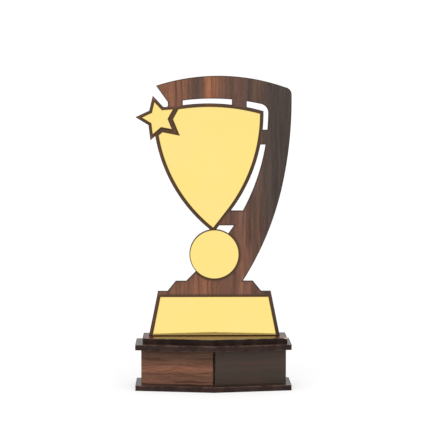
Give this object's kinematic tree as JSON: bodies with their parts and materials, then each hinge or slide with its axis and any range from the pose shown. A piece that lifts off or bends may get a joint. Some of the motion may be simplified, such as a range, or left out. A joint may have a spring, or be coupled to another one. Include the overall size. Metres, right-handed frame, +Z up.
{
  "type": "column trophy",
  "caption": "Flat walnut-look board cut as an arch with cup, star and medal, faced with plain gold mirror sheets, on a hollow stepped base with a shallow V front.",
  "frame": {"origin": "middle of the foot plate's underside, on the base's centre line and half way between its front point and its back", "axes": "+Z up, front of the trophy towards -Y, +X to the viewer's right when facing the front"},
  "size_m": [0.1178, 0.042, 0.2358],
  "materials": {
    "walnut_board": "satin walnut laminate with upright grain, burnt brown cut edges",
    "walnut_panel": "satin walnut laminate with level grain",
    "dark_panel": "satin dark walnut laminate",
    "side_laminate": "satin dark walnut laminate",
    "plate_laminate": "glossy dark walnut laminate, burnt cut edges",
    "bare_wood": "raw sawn softwood",
    "gold_mirror": "polished gold mirror sheet"
  },
  "bodies": {
    "root": {"foot_plate": "plate_laminate", "cap_plate": "plate_laminate", "plinth_plate": "plate_laminate", "front_panel_left": "walnut_panel", "front_panel_right": "dark_panel", "side_panel_left": "side_laminate", "side_panel_right": "side_laminate", "back_panel": "side_laminate", "seam_post": "bare_wood", "front_post_left": "bare_wood", "front_post_right": "bare_wood", "back_post_left": "bare_wood", "back_post_right": "bare_wood", "upright_board": "walnut_board", "cup_sheet": "gold_mirror", "star_sheet": "gold_mirror", "medal_sheet": "gold_mirror", "name_sheet": "gold_mirror"}
  },
  "joints": []
}
